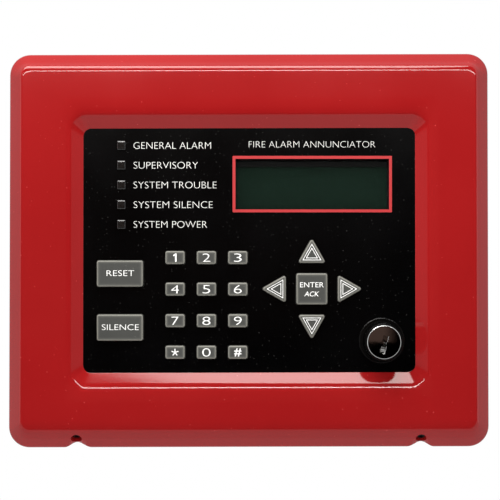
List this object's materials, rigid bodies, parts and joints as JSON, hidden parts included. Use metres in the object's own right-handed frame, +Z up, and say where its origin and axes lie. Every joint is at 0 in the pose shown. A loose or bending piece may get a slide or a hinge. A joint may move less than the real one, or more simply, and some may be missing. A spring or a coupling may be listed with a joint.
{
  "type": "fire alarm annunciator panel",
  "caption": "Wall-hung fire alarm annunciator: red moulded bezel round a recessed black panel with status lamps, character display, rubber keypad and key switch.",
  "frame": {"origin": "centre of the wall box's rear face, on the wall", "axes": "+Z up, +X to the right seen from the front, -Y out of the wall; the panel faces -Y"},
  "size_m": [0.2424, 0.047, 0.1992],
  "materials": {
    "red_plastic": "moulded, light orange-peel gloss",
    "box_steel": "powder coated sheet",
    "earth_green": "green earth screw",
    "zinc_steel": "zinc plated",
    "circuit_board": "solder mask",
    "chip_black": "moulded black",
    "capacitor_can": "sleeved can",
    "terminal_green": "moulded green",
    "dip_red": "moulded red",
    "led_body": "lamp body",
    "backlight": "light spreader",
    "display_glass": "dark green liquid crystal glass",
    "clear_window": "clear sheet",
    "lamp_lens": "clear moulded lens",
    "black_metal": "black finish",
    "spacer_nylon": "natural nylon",
    "panel_film": "semi-gloss printed film",
    "key_rubber": "printed silicone rubber",
    "lock_chrome": "polished",
    "contact_brass": "tinned brass"
  },
  "bodies": {
    "panel": {"back_box": "box_steel", "earth_screw": "earth_green", "box_standoffs": "zinc_steel", "bezel_tabs": "zinc_steel", "main_board": "circuit_board", "microcontroller": "chip_black", "board_chips": "chip_black", "capacitors": "capacitor_can", "sounder": "chip_black", "terminal_block": "terminal_green", "terminal_screws": "zinc_steel", "dip_switch": "dip_red", "status_leds": "led_body", "lcd_board": "circuit_board", "lcd_backlight": "backlight", "lcd_glass": "display_glass", "lcd_frame": "black_metal", "lcd_header": "chip_black", "lcd_standoffs": "zinc_steel", "lcd_screws": "zinc_steel", "keypad_mat": "key_rubber", "front_plate": "black_metal", "plate_studs": "zinc_steel", "stud_spacers": "spacer_nylon", "stud_nuts": "zinc_steel", "plate_screws": "zinc_steel", "lcd_window": "clear_window", "led_lenses": "lamp_lens", "overlay": "panel_film", "lock_barrel": "black_metal", "lock_ring": "black_metal", "lock_washer": "zinc_steel", "lock_nut": "zinc_steel", "switch_block": "chip_black", "switch_terminals": "contact_brass", "bezel": "red_plastic", "bezel_screws": "black_metal"},
    "key_1_cap": {"key_1": "key_rubber"},
    "key_2_cap": {"key_2": "key_rubber"},
    "key_3_cap": {"key_3": "key_rubber"},
    "key_4_cap": {"key_4": "key_rubber"},
    "key_5_cap": {"key_5": "key_rubber"},
    "key_6_cap": {"key_6": "key_rubber"},
    "key_7_cap": {"key_7": "key_rubber"},
    "key_8_cap": {"key_8": "key_rubber"},
    "key_9_cap": {"key_9": "key_rubber"},
    "key_star_cap": {"key_star": "key_rubber"},
    "key_0_cap": {"key_0": "key_rubber"},
    "key_hash_cap": {"key_hash": "key_rubber"},
    "key_reset_cap": {"key_reset": "key_rubber"},
    "key_silence_cap": {"key_silence": "key_rubber"},
    "key_enter_cap": {"key_enter": "key_rubber"},
    "key_up_cap": {"key_up": "key_rubber"},
    "key_right_cap": {"key_right": "key_rubber"},
    "key_down_cap": {"key_down": "key_rubber"},
    "key_left_cap": {"key_left": "key_rubber"},
    "key_plug": {"lock_plug": "lock_chrome"}
  },
  "joints": [
    {"name": "key_1_press", "type": "slide", "parent": "panel", "child": "key_1_cap", "axis": [0, 1, 0], "range_m": [0, 0.0012], "stiffness_N_per_m": 800, "springref_m": -0.0004},
    {"name": "key_2_press", "type": "slide", "parent": "panel", "child": "key_2_cap", "axis": [0, 1, 0], "range_m": [0, 0.0012], "stiffness_N_per_m": 800, "springref_m": -0.0004},
    {"name": "key_3_press", "type": "slide", "parent": "panel", "child": "key_3_cap", "axis": [0, 1, 0], "range_m": [0, 0.0012], "stiffness_N_per_m": 800, "springref_m": -0.0004},
    {"name": "key_4_press", "type": "slide", "parent": "panel", "child": "key_4_cap", "axis": [0, 1, 0], "range_m": [0, 0.0012], "stiffness_N_per_m": 800, "springref_m": -0.0004},
    {"name": "key_5_press", "type": "slide", "parent": "panel", "child": "key_5_cap", "axis": [0, 1, 0], "range_m": [0, 0.0012], "stiffness_N_per_m": 800, "springref_m": -0.0004},
    {"name": "key_6_press", "type": "slide", "parent": "panel", "child": "key_6_cap", "axis": [0, 1, 0], "range_m": [0, 0.0012], "stiffness_N_per_m": 800, "springref_m": -0.0004},
    {"name": "key_7_press", "type": "slide", "parent": "panel", "child": "key_7_cap", "axis": [0, 1, 0], "range_m": [0, 0.0012], "stiffness_N_per_m": 800, "springref_m": -0.0004},
    {"name": "key_8_press", "type": "slide", "parent": "panel", "child": "key_8_cap", "axis": [0, 1, 0], "range_m": [0, 0.0012], "stiffness_N_per_m": 800, "springref_m": -0.0004},
    {"name": "key_9_press", "type": "slide", "parent": "panel", "child": "key_9_cap", "axis": [0, 1, 0], "range_m": [0, 0.0012], "stiffness_N_per_m": 800, "springref_m": -0.0004},
    {"name": "key_star_press", "type": "slide", "parent": "panel", "child": "key_star_cap", "axis": [0, 1, 0], "range_m": [0, 0.0012], "stiffness_N_per_m": 800, "springref_m": -0.0004},
    {"name": "key_0_press", "type": "slide", "parent": "panel", "child": "key_0_cap", "axis": [0, 1, 0], "range_m": [0, 0.0012], "stiffness_N_per_m": 800, "springref_m": -0.0004},
    {"name": "key_hash_press", "type": "slide", "parent": "panel", "child": "key_hash_cap", "axis": [0, 1, 0], "range_m": [0, 0.0012], "stiffness_N_per_m": 800, "springref_m": -0.0004},
    {"name": "key_reset_press", "type": "slide", "parent": "panel", "child": "key_reset_cap", "axis": [0, 1, 0], "range_m": [0, 0.0012], "stiffness_N_per_m": 1000, "springref_m": -0.0004},
    {"name": "key_silence_press", "type": "slide", "parent": "panel", "child": "key_silence_cap", "axis": [0, 1, 0], "range_m": [0, 0.0012], "stiffness_N_per_m": 1000, "springref_m": -0.0004},
    {"name": "key_enter_press", "type": "slide", "parent": "panel", "child": "key_enter_cap", "axis": [0, 1, 0], "range_m": [0, 0.0012], "stiffness_N_per_m": 1000, "springref_m": -0.0004},
    {"name": "key_up_press", "type": "slide", "parent": "panel", "child": "key_up_cap", "axis": [0, 1, 0], "range_m": [0, 0.0012], "stiffness_N_per_m": 800, "springref_m": -0.0004},
    {"name": "key_right_press", "type": "slide", "parent": "panel", "child": "key_right_cap", "axis": [0, 1, 0], "range_m": [0, 0.0012], "stiffness_N_per_m": 800, "springref_m": -0.0004},
    {"name": "key_down_press", "type": "slide", "parent": "panel", "child": "key_down_cap", "axis": [0, 1, 0], "range_m": [0, 0.0012], "stiffness_N_per_m": 800, "springref_m": -0.0004},
    {"name": "key_left_press", "type": "slide", "parent": "panel", "child": "key_left_cap", "axis": [0, 1, 0], "range_m": [0, 0.0012], "stiffness_N_per_m": 800, "springref_m": -0.0004},
    {"name": "lock_turn", "type": "hinge", "parent": "panel", "child": "key_plug", "pos_m": [0.067, -0.03, -0.0455], "axis": [0, 1, 0], "range_deg": [0, 90]}
  ]
}
